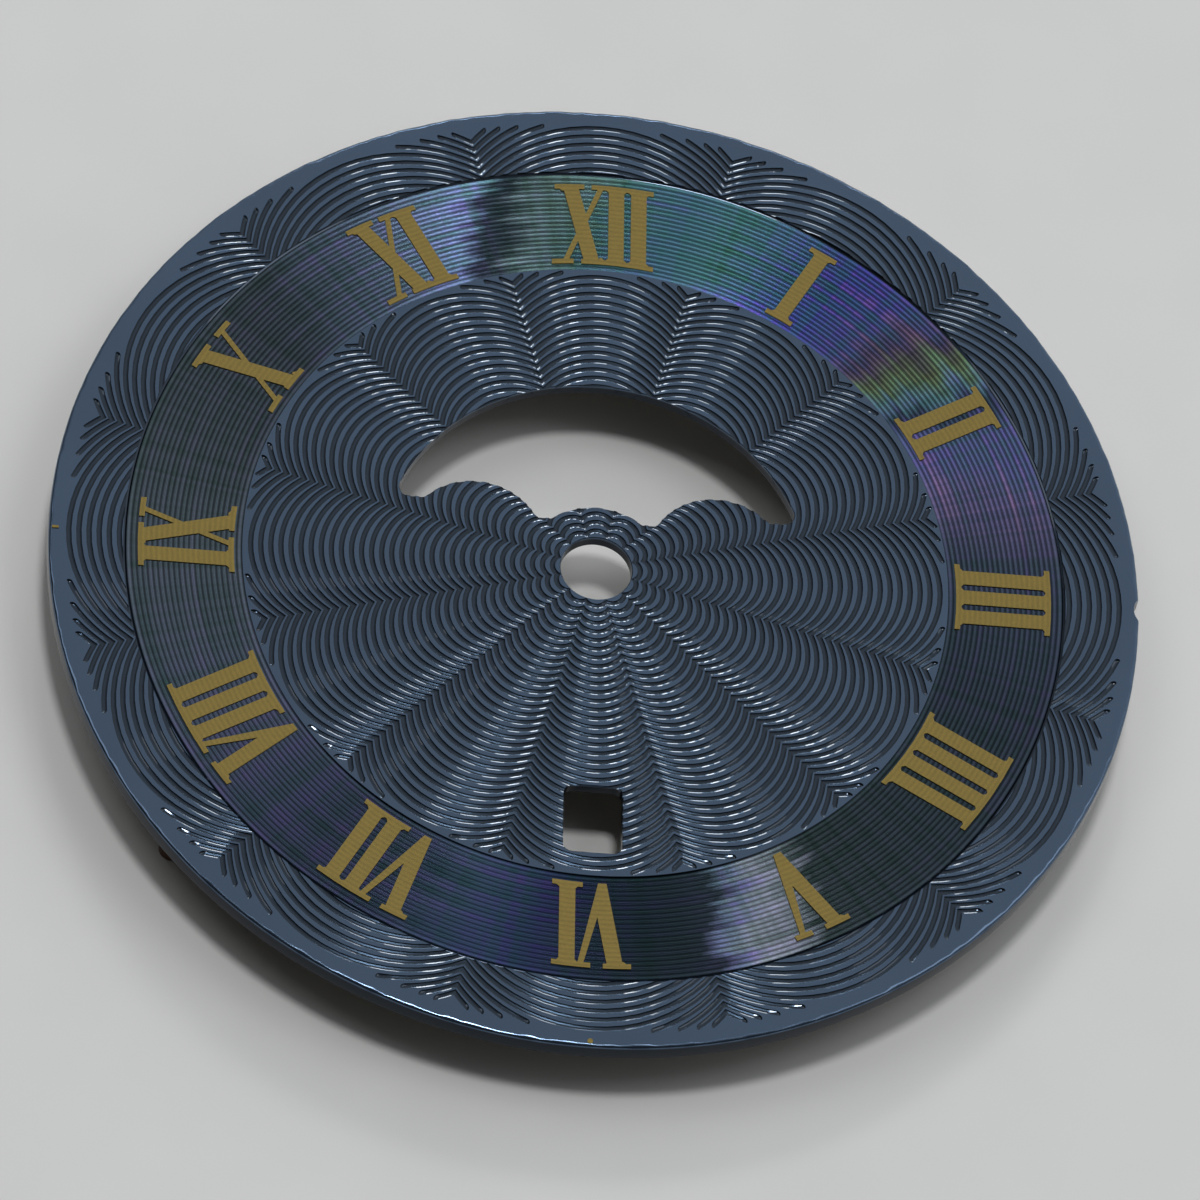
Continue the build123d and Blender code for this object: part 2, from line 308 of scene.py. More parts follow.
def new_geometry_tree(name, inputs, result):
    """Geometry tree with named inputs; gives the tree, its inputs and the result's socket."""
    tree = bpy.data.node_groups.new(name, "GeometryNodeTree")
    for label, kind in inputs.items():
        tree.interface.new_socket(label, in_out="INPUT", socket_type="NodeSocket" + kind)
    tree.interface.new_socket("Result", in_out="OUTPUT", socket_type="NodeSocket" + result)
    given = tree.nodes.new("NodeGroupInput")
    output = tree.nodes.new("NodeGroupOutput")
    return tree, given.outputs, output.inputs["Result"]


WAVE_INPUTS = {
    "First Crest": "Float",
    "Pitch": "Float",
    "Count": "Int",
    "Lobes": "Int",
    "Steps": "Int",
    "Arc Share": "Float",
    "Half Width": "Float",
    "Depth": "Float",
    "Lift": "Float",
    "Level": "Float",
    "Squareness": "Float",
    "Section Points": "Int",
    "Material": "Material",
}


WALL_INPUTS = ("Arc Share", "Half Width", "Depth", "Lift", "Level", "Squareness", "Section Points")


def groove_point_tree():
    """Point of a channel's wall in its lobe's own frame. The section runs from half an ellipse, at a
    squareness of 1, towards a flat floor between steep walls, near 0. The offset from the channel's middle is
    divided by how squarely the lobe crosses the radius there, so that the channel keeps one width."""
    inputs = {"Turn": "Float", "Crest": "Float", "Section": "Float", "Fade": "Float"}
    inputs.update({name: WAVE_INPUTS[name] for name in WALL_INPUTS})
    tree, given, result = new_geometry_tree("groove point", inputs, "Vector")
    centre = add(tree, "Math", [1.0, given["Arc Share"]], "SUBTRACT")
    cosine = add(tree, "Math", [given["Turn"]], "COSINE")
    sine = add(tree, "Math", [given["Turn"]], "SINE")
    along = add(tree, "Math", [cosine, given["Arc Share"], centre], "MULTIPLY_ADD")
    across = add(tree, "Math", [sine, given["Arc Share"]], "MULTIPLY")
    directness = add(tree, "Math", [cosine, centre, given["Arc Share"]], "MULTIPLY_ADD")
    # The grid's last row lies on its first, which closes the channel's cutter along its top.
    last = add(tree, "Math", [given["Section Points"], 1.0], "SUBTRACT")
    wrapped = add(tree, "Math", [given["Section"], given["Section Points"]], "MODULO")
    fraction = add(tree, "Math", [wrapped, last], "DIVIDE")
    swing = add(tree, "Math", [fraction, math.pi], "MULTIPLY")
    side = add(tree, "Math", [swing], "COSINE")
    rise = add(tree, "Math", [swing], "SINE")
    upright = add(tree, "Math", [rise], "ABSOLUTE")
    dip = add(tree, "Math", [upright, given["Squareness"]], "POWER")
    narrowed = add(tree, "Math", [given["Half Width"], given["Fade"]], "MULTIPLY")
    offset = add(tree, "Math", [side, narrowed], "MULTIPLY")
    spread = add(tree, "Math", [offset, directness], "DIVIDE")
    reach = add(tree, "Math", [given["Crest"], spread], "ADD")
    drop = add(tree, "Math", [given["Lift"], given["Depth"]], "ADD")
    faded = add(tree, "Math", [drop, given["Fade"]], "MULTIPLY")
    fall = add(tree, "Math", [dip, faded], "MULTIPLY")
    top = add(tree, "Math", [given["Level"], given["Lift"]], "ADD")
    height = add(tree, "Math", [top, fall], "SUBTRACT")
    x = add(tree, "Math", [along, reach], "MULTIPLY")
    y = add(tree, "Math", [across, reach], "MULTIPLY")
    tree.links.new(add(tree, "CombineXYZ", [x, y, height]).outputs[0], result)
    return tree


def repeated_grid(tree, given, count, columns):
    """Grids of columns by section points, one for each count, with the number of each kept on it. Gives
    the grids and the column, the section point and the number at each of their points."""
    rows = add(tree, "Math", [given["Section Points"], 1.0], "ADD")
    edges = add(tree, "Math", [columns, 1.0], "ADD")
    grid = add(tree, "GeometryNodeMeshGrid", [columns, given["Section Points"], edges, rows])
    line = add(tree, "GeometryNodeMeshLine", {"Count": count, "Offset": (0, 0, 0)}, mode="OFFSET")
    copies = add(tree, "GeometryNodeInstanceOnPoints", {"Points": line, "Instance": grid})
    index = add(tree, "GeometryNodeInputIndex")
    numbers = {"Geometry": copies, "Name": "number", "Value": index}
    numbered = add(tree, "GeometryNodeStoreNamedAttribute", numbers, domain="INSTANCE", data_type="FLOAT")
    grids = add(tree, "GeometryNodeRealizeInstances", [numbered])
    place = add(tree, "SeparateXYZ", [add(tree, "GeometryNodeInputPosition")])
    half = add(tree, "Math", [given["Section Points"], 0.5], "MULTIPLY")
    section = add(tree, "Math", [place.outputs["Y"], half], "ADD")
    rounded = add(tree, "Math", [section], "ROUND")
    number = add(tree, "GeometryNodeInputNamedAttribute", ["number"], data_type="FLOAT")
    return grids, place.outputs["X"], rounded, number


def finish_grooves(tree, given, grids, point, result):
    """Moves the grids to their points, closes their seams and gives them their material."""
    moved = add(tree, "GeometryNodeSetPosition", {"Geometry": grids, "Position": point})
    closed = add(tree, "GeometryNodeMergeByDistance", {"Geometry": moved, "Distance": SEAM})
    plain = add(tree, "GeometryNodeRealizeInstances", [closed])
    coated = add(tree, "GeometryNodeSetMaterial", {"Geometry": plain, "Material": given["Material"]})
    tree.links.new(coated.outputs[0], result)


def wall_inputs(given, turn, crest, section, fade):
    """What the groove point group takes from the tree round it."""
    inputs = {name: given[name] for name in WALL_INPUTS}
    return inputs | {"Turn": turn, "Crest": crest, "Section": section, "Fade": fade}


def full_wave_tree(groove_point):
    """Closed channels that run through every lobe, one for each count, a pitch apart."""
    tree, given, result = new_geometry_tree("full waves", WAVE_INPUTS | {"Cusp Turn": "Float"}, "Geometry")
    columns = add(tree, "Math", [given["Lobes"], given["Steps"]], "MULTIPLY")
    grids, column, section, number = repeated_grid(tree, given, given["Count"], columns)
    crest = add(tree, "Math", [number, given["Pitch"], given["First Crest"]], "MULTIPLY_ADD")
    middle = add(tree, "Math", [columns, 0.5], "MULTIPLY")
    walked = add(tree, "Math", [column, middle], "ADD")
    lobe_place = add(tree, "Math", [walked, given["Steps"]], "DIVIDE")
    lobe = add(tree, "Math", [lobe_place], "FLOOR")
    within = add(tree, "Math", [lobe_place], "FRACT")
    either_side = add(tree, "Math", [within, 2.0, -1.0], "MULTIPLY_ADD")
    turn = add(tree, "Math", [either_side, given["Cusp Turn"]], "MULTIPLY")
    inputs = wall_inputs(given, turn, crest, section, 1.0)
    point = add(tree, "GeometryNodeGroup", inputs, node_tree=groove_point)
    hour = add(tree, "Math", [2 * math.pi, given["Lobes"]], "DIVIDE")
    angle = add(tree, "Math", [lobe, hour], "MULTIPLY")
    turned = add(tree, "VectorRotate", {"Vector": point, "Angle": angle}, rotation_type="Z_AXIS")
    finish_grooves(tree, given, grids, turned, result)
    return tree


def cusp_tree(groove_point):
    """Short channels round the cusps only, with rounded ends at a circle, one round for each count."""
    inputs = WAVE_INPUTS | {"Cusp Turn": "Float", "End Radius": "Float", "Cap Steps": "Int"}
    tree, given, result = new_geometry_tree("wave cusps", inputs, "Geometry")
    count = add(tree, "Math", [given["Lobes"], given["Count"]], "MULTIPLY")
    columns = add(tree, "Math", [given["Steps"], 2.0], "MULTIPLY")
    grids, column, section, number = repeated_grid(tree, given, count, columns)
    level_place = add(tree, "Math", [number, given["Lobes"]], "DIVIDE")
    level = add(tree, "Math", [level_place], "FLOOR")
    crest = add(tree, "Math", [level, given["Pitch"], given["First Crest"]], "MULTIPLY_ADD")
    # The law of cosines gives the turn at which a lobe crosses the end circle.
    centre = add(tree, "Math", [1.0, given["Arc Share"]], "SUBTRACT")
    centre_square = add(tree, "Math", [centre, centre], "MULTIPLY")
    squares = add(tree, "Math", [given["Arc Share"], given["Arc Share"], centre_square], "MULTIPLY_ADD")
    double = add(tree, "Math", [centre, 2.0], "MULTIPLY")
    product = add(tree, "Math", [double, given["Arc Share"]], "MULTIPLY")
    end_share = add(tree, "Math", [given["End Radius"], crest], "DIVIDE")
    end_square = add(tree, "Math", [end_share, end_share], "MULTIPLY")
    excess = add(tree, "Math", [end_square, squares], "SUBTRACT")
    end_cosine = add(tree, "Math", [excess, product], "DIVIDE")
    end_turn = add(tree, "Math", [end_cosine], "ARCCOSINE")
    # The steps from the cusp keep the full section first, and the last ones round off the end.
    lobe_radius = add(tree, "Math", [given["Arc Share"], crest], "MULTIPLY")
    cap_turn = add(tree, "Math", [given["Half Width"], lobe_radius], "DIVIDE")
    cap_start = add(tree, "Math", [end_turn, cap_turn], "ADD")
    straight_turn = add(tree, "Math", [given["Cusp Turn"], cap_start], "SUBTRACT")
    walked = add(tree, "Math", [column], "ABSOLUTE")
    straight_steps = add(tree, "Math", [given["Steps"], given["Cap Steps"]], "SUBTRACT")
    straight_share = add(tree, "Math", [walked, straight_steps], "DIVIDE")
    along = add(tree, "Math", [straight_share, 1.0], "MINIMUM")
    past = add(tree, "Math", [walked, straight_steps], "SUBTRACT")
    in_cap = add(tree, "Math", [past, 0.0], "MAXIMUM")
    cap_share = add(tree, "Math", [in_cap, given["Cap Steps"]], "DIVIDE")
    swing = add(tree, "Math", [cap_share, math.pi / 2], "MULTIPLY")
    cap_reach = add(tree, "Math", [swing], "SINE")
    fade = add(tree, "Math", [swing], "COSINE")
    straight_run = add(tree, "Math", [along, straight_turn], "MULTIPLY")
    run = add(tree, "Math", [cap_reach, cap_turn, straight_run], "MULTIPLY_ADD")
    turn = add(tree, "Math", [given["Cusp Turn"], run], "SUBTRACT")
    inputs = wall_inputs(given, turn, crest, section, fade)
    point = add(tree, "GeometryNodeGroup", inputs, node_tree=groove_point)
    # Each cusp's second leg mirrors its first, and then every cusp turns to its place round the dial.
    half_hour = add(tree, "Math", [math.pi, given["Lobes"]], "DIVIDE")
    back = add(tree, "Math", [half_hour, -1.0], "MULTIPLY")
    centred = add(tree, "VectorRotate", {"Vector": point, "Angle": back}, rotation_type="Z_AXIS")
    sign = add(tree, "Math", [column], "SIGN")
    flip = add(tree, "Math", [sign, -1.0], "MULTIPLY")
    sides = add(tree, "CombineXYZ", [1.0, flip, 1.0])
    two_legged = add(tree, "VectorMath", [centred, sides], "MULTIPLY")
    hour = add(tree, "Math", [half_hour, 2.0], "MULTIPLY")
    angle = add(tree, "Math", [number, hour, half_hour], "MULTIPLY_ADD")
    turned = add(tree, "VectorRotate", {"Vector": two_legged, "Angle": angle}, rotation_type="Z_AXIS")
    finish_grooves(tree, given, grids, turned, result)
    return tree


def grown_mesh(tree, values):
    """Plain mesh that a geometry tree makes from its named inputs."""
    seed = bpy.data.objects.new(tree.name, bpy.data.meshes.new(tree.name))
    bpy.context.collection.objects.link(seed)
    modifier = seed.modifiers.new(tree.name, "NODES")
    modifier.node_group = tree
    for socket in tree.interface.items_tree:
        if socket.in_out == "INPUT" and values.get(socket.name) is not None:
            modifier[socket.identifier] = values[socket.name]
    evaluated = seed.evaluated_get(bpy.context.evaluated_depsgraph_get())
    made = bpy.data.meshes.new_from_object(evaluated)
    bpy.data.objects.remove(seed)
    mesh = bmesh.new()
    mesh.from_mesh(made)
    bpy.data.meshes.remove(made)
    if not mesh.faces:
        raise RuntimeError(f"the tree {tree.name} made nothing")
    bmesh.ops.dissolve_degenerate(mesh, edges=mesh.edges, dist=WELD)
    bmesh.ops.recalc_face_normals(mesh, faces=mesh.faces)
    return mesh


def cut_away(base, cutters):
    """Cuts closed bmeshes out of a mesh, one after another, each with the material slot of what it cuts."""
    body = bpy.data.objects.new("body", base)
    bpy.context.collection.objects.link(body)
    for cutter, slot in cutters:
        for face in cutter.faces:
            face.material_index = slot
        tool = bpy.data.objects.new("tool", into_mesh("tool", cutter, *base.materials))
        bpy.context.collection.objects.link(tool)
        cut = body.modifiers.new("cut", "BOOLEAN")
        cut.object = tool
        cut.operation = "DIFFERENCE"
        cut.solver = "MANIFOLD"
        evaluated = body.evaluated_get(bpy.context.evaluated_depsgraph_get())
        made = bpy.data.meshes.new_from_object(evaluated)
        body.modifiers.remove(cut)
        bpy.data.objects.remove(tool)
        body.data = made
    made = body.data
    bpy.data.objects.remove(body)
    return made


def plate_profile(turn):
    """Half section of the plate at a turn: the web, the sunk ring and the rim with its uneven rounding."""
    plate, ring = bpy.context.scene.dial_plate, bpy.context.scene.dial_ring
    ring_inner, ring_outer = ring_radii()
    relief = DIAL_RADIUS - plate.seat_width
    uneven = sum(math.sin(turn * count + count) for count in RIM_UNEVENNESS) / len(RIM_UNEVENNESS)
    rounding = plate.front_round * (1 + plate.front_wave * uneven)
    edge = plate.edge_break
    points = [
        (HOLE_RADIUS, WEB_BACK),
        (HOLE_RADIUS, -edge),
        (HOLE_RADIUS + edge, 0),
        (ring_inner - edge / 2, 0),
        (ring_inner, -edge / 2),
        (ring_inner, RING_FLOOR),
        (ring_outer - ring.corner_groove, RING_FLOOR),
        (ring_outer - ring.corner_groove / 2, RING_FLOOR - ring.corner_groove / 2),
        (ring_outer, RING_FLOOR - ring.corner_groove / 4),
        (ring_outer, -edge / 2),
        (ring_outer + edge / 2, 0),
    ]
    for step in range(plate.round_steps + 1):
        swing = math.pi / 2 * step / plate.round_steps
        points.append((
            DIAL_RADIUS - rounding * (1 - math.sin(swing)),
            -rounding * (1 - math.cos(swing)),
        ))
    points += [
        (DIAL_RADIUS, RIM_BACK + plate.back_bevel),
        (DIAL_RADIUS - plate.back_bevel, RIM_BACK),
        (relief, RIM_BACK),
        (relief, WEB_BACK),
    ]
    return points


def window_outlines():
    """Outlines of the moon window and the date window, from the back face of the CAD plate's web."""
    mesh = bmesh.new()
    mesh.from_mesh(frame["nodes"]["dial_plate"].data)
    bmesh.ops.remove_doubles(mesh, verts=mesh.verts, dist=WELD)
    on_web = {face for face in mesh.faces if all(abs(corner.co.z - WEB_BACK) < NEAR for corner in face.verts)}
    rim_edges = [edge for edge in mesh.edges if sum(face in on_web for face in edge.link_faces) == 1]
    beside = {}
    for edge in rim_edges:
        for corner in edge.verts:
            beside.setdefault(corner, []).append(edge.other_vert(corner))
    outlines = []
    while beside:
        start = min(beside, key=lambda corner: corner.index)
        loop = [start]
        while len(loop) == 1 or loop[-1] != start:
            before = loop[-2] if len(loop) > 1 else None
            loop.append(next(corner for corner in beside[loop[-1]] if corner is not before))
        for corner in loop[1:]:
            del beside[corner]
        outlines.append([corner.co.copy() for corner in loop[1:]])
    mesh.free()
    relief = DIAL_RADIUS - bpy.context.scene.dial_plate.seat_width
    reaches = [max(point.xy.length for point in outline) for outline in outlines]
    return [
        outline
        for outline, reach in zip(outlines, reaches)
        if HOLE_RADIUS + NEAR < reach < relief - NEAR
    ]


def grown_outline(outline, reach, height):
    """An outline moved outward by a reach and laid at a height."""
    area = sum(here.x * there.y - there.x * here.y for here, there in zip(outline, outline[1:] + outline[:1]))
    side = 1 if area > 0 else -1
    points = []
    for place, point in enumerate(outline):
        before, after = outline[place - 1], outline[(place + 1) % len(outline)]
        ahead = (after - before).normalized()
        points.append((point.x + ahead.y * reach * side, point.y - ahead.x * reach * side, height))
    return points


def window_cutters(plate):
    """Cutters for the windows, with the tiny slope on their front edges."""
    levels = ((plate.overrun + plate.edge_break, plate.overrun), (0, -plate.edge_break), (0, RIM_BACK))
    return [
        prism([grown_outline(outline, reach, height) for reach, height in levels])
        for outline in window_outlines()
    ]


def round_cutter(radius, x, y, low, high, segments):
    """Upright closed cylinder."""
    turns = [2 * math.pi * step / segments for step in range(segments)]
    ring = [(x + radius * math.cos(turn), y + radius * math.sin(turn)) for turn in turns]
    return prism([[(px, py, height) for px, py in ring] for height in (low, high)])


def notch_cutter(plate):
    """Round cutter that leaves the notch in the rim at 3 o'clock."""
    radius = (plate.notch_width**2 / 4 + plate.notch_depth**2) / (2 * plate.notch_depth)
    x = DIAL_RADIUS - plate.notch_depth + radius
    return round_cutter(radius, x, 0, RIM_BACK - plate.overrun, plate.overrun, plate.notch_steps)


def seat_cutters(plate):
    """Cutters for the sunk seats that take the solder and the feet."""
    cutters = []
    for side in ("left", "right"):
        low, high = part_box("solder_collar_" + side)
        radius = (high.x - low.x) / 2
        middle = (low + high) / 2
        below = RIM_BACK - plate.overrun
        cutters.append(round_cutter(radius, middle.x, middle.y, below, high.z, plate.seat_steps))
    return cutters


def wave_cutters(material):
    """Cutters for the engine-turned channels, full waves first and then cusps, and last for the ring's fine
    lines."""
    waves, ring = bpy.context.scene.dial_waves, bpy.context.scene.dial_ring
    ring_inner, ring_outer = ring_radii()
    last_inner = ring_inner - waves.ring_gap
    centre_share = 1 - waves.arc_share
    half_lobe = math.pi / waves.lobes
    values = {
        "Pitch": waves.pitch,
        "Lobes": waves.lobes,
        "Arc Share": waves.arc_share,
        "Half Width": waves.width / 2,
        "Depth": waves.depth,
        "Lift": waves.lift,
        "Level": 0.0,
        "Section Points": waves.section_points,
        "Material": material,
        "Cusp Turn": half_lobe + math.asin(centre_share * math.sin(half_lobe) / waves.arc_share),
        "Cap Steps": waves.cap_steps,
    }
    groove_point = groove_point_tree()
    full_waves = full_wave_tree(groove_point)
    cusps = cusp_tree(groove_point)
    first = 1 - waves.inner_waves
    large = first + waves.small_waves
    outer = waves.ring_waves
    past = outer + waves.outer_waves
    inner_end = ring_inner - waves.ring_land
    outer_end = DIAL_RADIUS - waves.rim_land
    cutters = []
    for tree, start, count, steps, end in (
        (full_waves, first, waves.small_waves, waves.small_steps, None),
        (full_waves, large, 1 - large, waves.steps, None),
        (full_waves, outer, waves.outer_waves, waves.steps, None),
        (cusps, 1, waves.inner_cusps, waves.leg_steps, inner_end),
        (cusps, past, waves.outer_cusps, waves.leg_steps, outer_end),
    ):
        cutters.append(grown_mesh(tree, values | {
            "First Crest": last_inner + start * waves.pitch,
            "Count": count,
            "Steps": steps,
            "End Radius": end,
            "Squareness": waves.squareness if start < outer else waves.outer_squareness,
        }))
    cutters.append(grown_mesh(full_waves, values | {
        "First Crest": ring_inner + ring.inner_margin,
        "Pitch": ring.line_pitch,
        "Count": ring.lines,
        "Steps": ring.line_steps,
        "Arc Share": 1.0,
        "Cusp Turn": half_lobe,
        "Half Width": ring.line_width / 2,
        "Depth": ring.line_depth,
        "Lift": ring.line_depth / 2,
        "Level": RING_FLOOR,
        "Squareness": 1.0,
        "Section Points": ring.line_points,
    }))
    return cutters


def smooth(mesh):
    """Joins a mesh's flat faces and shades it smooth, except at its sharp edges and round its level faces."""
    work = bmesh.new()
    work.from_mesh(mesh)
    bmesh.ops.dissolve_limit(work, angle_limit=FLAT_TURN, verts=work.verts, edges=work.edges,
                             delimit={"MATERIAL"})
    for face in work.faces:
        face.smooth = True
    for edge in work.edges:
        levels = {abs(face.normal.z) > LEVEL for face in edge.link_faces}
        edge.smooth = len(levels) == 1 and edge.calc_face_angle(0) < SHARP_TURN
    work.to_mesh(mesh)
    work.free()


def plate_mesh():
    """The plate with its channels, lines, windows, notch and seats."""
    plate = bpy.context.scene.dial_plate
    materials = [satin_navy_lacquer(), azure_ring_with_painted_light(), turned_brass_back(), glossy_channel_lacquer()]
    base = into_mesh("dial_plate_turned", lathe(plate_profile, plate.segments), *materials)
    *channels, lines = wave_cutters(materials[CHANNEL])
    plain = window_cutters(plate) + [notch_cutter(plate)] + seat_cutters(plate)
    cutters = [(channel, CHANNEL) for channel in channels] + [(lines, RING)]
    cutters += [(cutter, LACQUER) for cutter in plain]
    mesh = cut_away(base, cutters)
    ring_inner, ring_outer = ring_radii()
    for face in mesh.polygons:
        radius, height = face.center.xy.length, face.center.z
        if face.material_index != LACQUER:
            continue
        if ring_inner - NEAR < radius < ring_outer + NEAR and -NEAR > height > WEB_BACK / 2:
            # The ring's upright walls take the channel lacquer, so that they show as a painted dark line of
            # shade.
            face.material_index = RING if face.normal.z > UPWARD else CHANNEL
        if height < WEB_BACK + NEAR and (radius < DIAL_RADIUS - NEAR or face.normal.z < -UPWARD):
            face.material_index = BACK
    smooth(mesh)
    return mesh


def new_material(name):
    """Node material with its shader; gives the material, its tree, the shader and the place on the piece."""
    material = bpy.data.materials.new(name)
    material.use_nodes = True
    tree = material.node_tree
    return material, tree, tree.nodes["Principled BSDF"], add(tree, "TexCoord").outputs["Object"]


def from_axis(tree, place):
    """Distance of a place from the dial's axis."""
    flat = add(tree, "VectorMath", [place, (1, 1, 0)], "MULTIPLY")
    return add(tree, "VectorMath", [flat], "LENGTH").outputs["Value"]


def clouded(tree, colour, noise, least, most):
    """A colour made darker and lighter by a noise."""
    shade = add(tree, "MapRange", {"Value": noise, "To Min": least, "To Max": most})
    return add(tree, "VectorMath", {"Vector": colour, "Scale": shade}, "SCALE")


def satin_navy_lacquer():
    """Thin navy lacquer over brass, rubbed satin: the flat lands, the rim and the window walls. Below the
    face its colour is painted darker, to near black on the upright walls, as painted shade, and its soft
    sheen takes up the light without glare. Its rub marks are finer than shows, so they are drawn 0.05 mm
    wide."""
    colours = bpy.context.scene.dial_colours
    material, tree, shader, place = new_material("satin_navy_lacquer")
    height = add(tree, "SeparateXYZ", [place]).outputs["Z"]
    cloud = add(tree, "TexNoise", {"Vector": place, "Scale": 1 / (6 * MM), "Detail": 3.0})
    grain = add(tree, "TexNoise", {"Vector": place, "Scale": 1 / (0.05 * MM), "Detail": 2.0})
    shade = add(tree, "MapRange", {"Value": cloud, "To Min": 0.85, "To Max": 1.15})
    # Painted shade: from 0.05 mm to 0.12 mm below the face the colour falls to near black, on the upright
    # walls of the rim, the hole and the windows.
    face = add(tree, "MapRange", {"Value": height, "From Min": -0.12 * MM, "From Max": -0.05 * MM,
                                  "To Min": 0.12})
    bright = add(tree, "Math", [shade, face], "MULTIPLY")
    varied = add(tree, "VectorMath", {"Vector": colours.land[:3], "Scale": bright}, "SCALE")
    rough = add(tree, "Math", [grain, 0.08, 0.14], "MULTIPLY_ADD")
    bump = add(tree, "Bump", {"Height": grain, "Distance": 0.001 * MM, "Strength": 0.3})
    feed(tree, shader, {"Base Color": varied, "Roughness": rough, "Normal": bump, "Metallic": 0.9})
    return material


def glossy_channel_lacquer():
    """The same lacquer where it pooled in the channels, glossy. Its colour there is painted shade: near black
    on the walls, and on the floor greyer but still darker than the lands. Its clear skin throws back the
    lamps as crisp white dashes."""
    colours, waves = bpy.context.scene.dial_colours, bpy.context.scene.dial_waves
    material, tree, shader, place = new_material("glossy_channel_lacquer")
    height = add(tree, "SeparateXYZ", [place]).outputs["Z"]
    # Painted shade: the mask gives the floor its greyer colour and the walls their painted near-black one.
    floor = add(tree, "MapRange", {"Value": height, "From Min": -0.96 * waves.depth,
                                   "From Max": -0.982 * waves.depth})
    mixed = {"Factor": floor, MIX_FIRST: colours.wall[:], MIX_SECOND: colours.channel[:]}
    base = add(tree, "Mix", mixed, data_type="RGBA").outputs[MIX_RESULT]
    cloud = add(tree, "TexNoise", {"Vector": place, "Scale": 1 / (0.4 * MM), "Detail": 3.0})
    varied = clouded(tree, base, cloud, 0.8, 1.2)
    feed(tree, shader, {"Base Color": varied, "Roughness": 0.14, "Metallic": 0.9})
    feed(tree, shader, {"Coat Weight": 0.7, "Coat Roughness": 0.03})
    return material


# Colours of the fine lines round the ring, by the hour: mostly the lacquer's own blue, with painted
# highlights where they face the light at 11 and 5 o'clock, painted shade in the darkest stretches, and
# painted rainbow reflections between 12 and 3.
RING_BLUE_WITH_PAINTED_LIGHT = (
    (0.0, "#2A4A4C"),
    (0.3, "#22404C"),
    (0.6, "#234648"),
    (0.85, "#2E4866"),
    (1.15, "#304086"),
    (1.4, "#3E4A84"),
    (1.57, "#54465E"),
    (1.72, "#5C7450"),
    (1.85, "#4C7084"),
    (1.93, "#2C3848"),
    (2.05, "#46587C"),
    (2.25, "#4A5480"),
    (2.5, "#585278"),
    (2.8, "#3C485A"),
    (3.5, "#323E4A"),
    (4.93, "#283436"),
    (5.03, "#566068"),
    (5.22, "#6C7480"),
    (5.34, "#525C7C"),
    (5.43, "#202A32"),
    (5.65, "#1C2830"),
    (6.25, "#121C30"),
    (6.7, "#1C2838"),
    (7.5, "#3A465A"),
    (9.0, "#4A565E"),
    (10.3, "#364048"),
    (11.0, "#4A5A70"),
    (11.33, "#566A8E"),
    (11.42, "#222C38"),
    (11.55, "#222C34"),
    (11.66, "#4A6062"),
    (12.0, "#32504E"),
)


